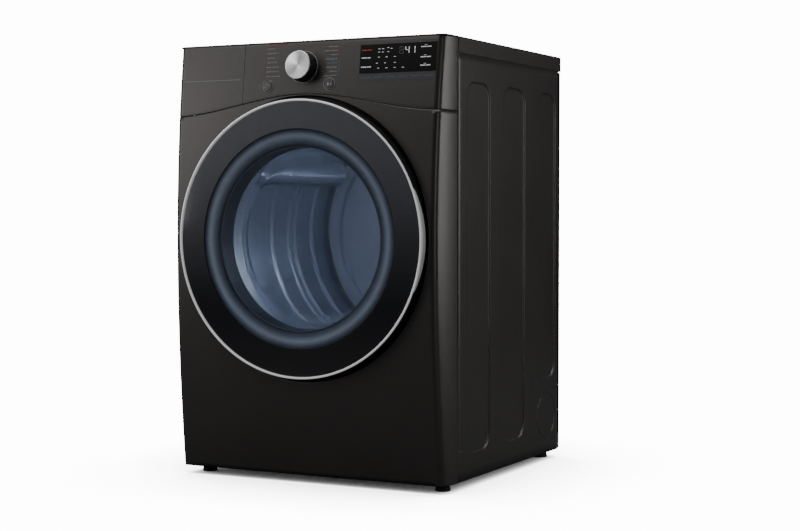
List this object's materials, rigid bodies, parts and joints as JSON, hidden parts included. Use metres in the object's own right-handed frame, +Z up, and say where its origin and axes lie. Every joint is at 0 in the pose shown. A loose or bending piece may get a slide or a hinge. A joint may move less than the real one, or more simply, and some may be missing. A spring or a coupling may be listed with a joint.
{
  "type": "front-load clothes dryer",
  "caption": "Full-size front-load clothes dryer with a bowed dark front, round glass door in a bright ring, turning drum, belt drive, lint filter, water drawer and control knob.",
  "frame": {"origin": "centre of the machine's footprint at the floor, under the bounding box", "axes": "+X to the right for someone facing the door, +Y from the door to the back, +Z up"},
  "size_m": [0.686, 0.765, 0.991],
  "materials": {
    "paint": "satin dark metallic paint",
    "steel": "galvanised sheet",
    "drum": "satin stainless",
    "chrome": "polished",
    "spun": "spun face",
    "black": "gloss black",
    "black_matte": "fine grain black",
    "grey": "moulded grey",
    "light": "light guide",
    "glass": "dark tinted",
    "bowl": "clear moulded",
    "rubber": "matt black",
    "felt": "wool felt"
  },
  "bodies": {
    "cabinet": {"base_pan": "steel", "side_panel_left": "paint", "side_panel_right": "paint", "rear_panel": "steel", "top_cover": "paint", "front_cover": "paint", "control_fascia": "paint", "front_cross_rail": "steel", "display_window": "black", "control_board": "grey", "front_bulkhead": "steel", "rear_bulkhead": "steel", "drum_seal_front": "felt", "drum_seal_rear": "felt", "door_gasket": "rubber", "lint_duct": "grey", "blower_housing": "grey", "exhaust_duct": "steel", "heater_housing": "steel", "heater_element": "steel", "rear_air_duct": "steel", "motor_housing": "steel", "drive_belt": "rubber", "idler_bracket": "steel", "hinge_bracket": "steel", "latch_catch": "black_matte", "drawer_housing": "grey", "steam_generator": "grey", "terminal_cover": "paint", "knob_light_ring": "light"},
    "door": {"door_glass": "glass", "door_trim": "chrome", "door_frame": "black", "door_handle": "chrome", "door_inner_cover": "grey", "door_window": "bowl", "door_hinge_arm": "steel", "door_strike": "steel"},
    "drum": {"drum_shell": "drum", "drum_baffle_1": "grey", "drum_baffle_2": "grey", "drum_baffle_3": "grey"},
    "roller_front_left": {"drum_roller_front_left": "rubber"},
    "roller_front_right": {"drum_roller_front_right": "rubber"},
    "roller_rear_left": {"drum_roller_rear_left": "rubber"},
    "roller_rear_right": {"drum_roller_rear_right": "rubber"},
    "rotor": {"motor_shaft": "steel", "blower_wheel": "grey"},
    "idler": {"idler_arm": "steel"},
    "idler_roller": {"idler_wheel": "grey"},
    "filter": {"lint_filter": "grey"},
    "drawer": {"drawer_front": "paint", "drawer_tray": "grey"},
    "knob": {"control_knob": "spun"},
    "power": {"power_button": "paint"},
    "start": {"start_button": "paint"},
    "foot_front_left": {"foot_front_left": "rubber"},
    "foot_front_right": {"foot_front_right": "rubber"},
    "foot_rear_left": {"foot_rear_left": "rubber"},
    "foot_rear_right": {"foot_rear_right": "rubber"}
  },
  "joints": [
    {"name": "door_hinge", "type": "hinge", "parent": "cabinet", "child": "door", "pos_m": [-0.302, -0.371, 0.55], "axis": [0, 0, -1], "range_deg": [0, 150]},
    {"name": "drum_spin", "type": "hinge", "parent": "cabinet", "child": "drum", "pos_m": [0, 0, 0.56], "axis": [0, 1, 0], "continuous": true},
    {"name": "roller_front_left_spin", "type": "hinge", "parent": "cabinet", "child": "roller_front_left", "pos_m": [-0.2027, 0, 0.27051], "axis": [0, 1, 0], "continuous": true},
    {"name": "roller_front_right_spin", "type": "hinge", "parent": "cabinet", "child": "roller_front_right", "pos_m": [0.2027, 0, 0.27051], "axis": [0, 1, 0], "continuous": true},
    {"name": "roller_rear_left_spin", "type": "hinge", "parent": "cabinet", "child": "roller_rear_left", "pos_m": [-0.2027, 0, 0.27051], "axis": [0, 1, 0], "continuous": true},
    {"name": "roller_rear_right_spin", "type": "hinge", "parent": "cabinet", "child": "roller_rear_right", "pos_m": [0.2027, 0, 0.27051], "axis": [0, 1, 0], "continuous": true},
    {"name": "motor_spin", "type": "hinge", "parent": "cabinet", "child": "rotor", "pos_m": [0.125, 0, 0.125], "axis": [0, 1, 0], "continuous": true},
    {"name": "idler_swing", "type": "hinge", "parent": "cabinet", "child": "idler", "pos_m": [0.00052, 0, 0.15823], "axis": [0, -1, 0], "range_deg": [0, 12], "stiffness_Nm_per_rad": 4, "springref_deg": -20.05},
    {"name": "idler_spin", "type": "hinge", "parent": "idler", "child": "idler_roller", "pos_m": [-0.06348, 0, 0.19673], "axis": [0, 1, 0], "continuous": true},
    {"name": "filter_lift", "type": "slide", "parent": "cabinet", "child": "filter", "axis": [0, 0, 1], "range_m": [0, 0.16]},
    {"name": "drawer_slide", "type": "slide", "parent": "cabinet", "child": "drawer", "axis": [0, -1, 0], "range_m": [0, 0.2]},
    {"name": "knob_turn", "type": "hinge", "parent": "cabinet", "child": "knob", "pos_m": [-0.004, -0.33965, 0.931], "axis": [0, -0.9921, 0.1252], "continuous": true},
    {"name": "power_press", "type": "slide", "parent": "cabinet", "child": "power", "axis": [0, 0.9936, -0.1128], "range_m": [0, 0.0015], "stiffness_N_per_m": 400, "springref_m": -0.002},
    {"name": "start_press", "type": "slide", "parent": "cabinet", "child": "start", "axis": [0, 0.9936, -0.1126], "range_m": [0, 0.0015], "stiffness_N_per_m": 400, "springref_m": -0.002},
    {"name": "foot_front_left_level", "type": "slide", "parent": "cabinet", "child": "foot_front_left", "axis": [0, 0, -1], "range_m": [0, 0.02]},
    {"name": "foot_front_right_level", "type": "slide", "parent": "cabinet", "child": "foot_front_right", "axis": [0, 0, -1], "range_m": [0, 0.02]},
    {"name": "foot_rear_left_level", "type": "slide", "parent": "cabinet", "child": "foot_rear_left", "axis": [0, 0, -1], "range_m": [0, 0.02]},
    {"name": "foot_rear_right_level", "type": "slide", "parent": "cabinet", "child": "foot_rear_right", "axis": [0, 0, -1], "range_m": [0, 0.02]}
  ],
  "couplings": [
    {"joint": "roller_front_left_spin", "follows": "drum_spin", "ratio": -9.0857},
    {"joint": "roller_front_right_spin", "follows": "drum_spin", "ratio": -9.0857},
    {"joint": "roller_rear_left_spin", "follows": "drum_spin", "ratio": -9.0857},
    {"joint": "roller_rear_right_spin", "follows": "drum_spin", "ratio": -9.0857},
    {"joint": "motor_spin", "follows": "drum_spin", "ratio": 28.5},
    {"joint": "idler_spin", "follows": "drum_spin", "ratio": -14.564}
  ]
}
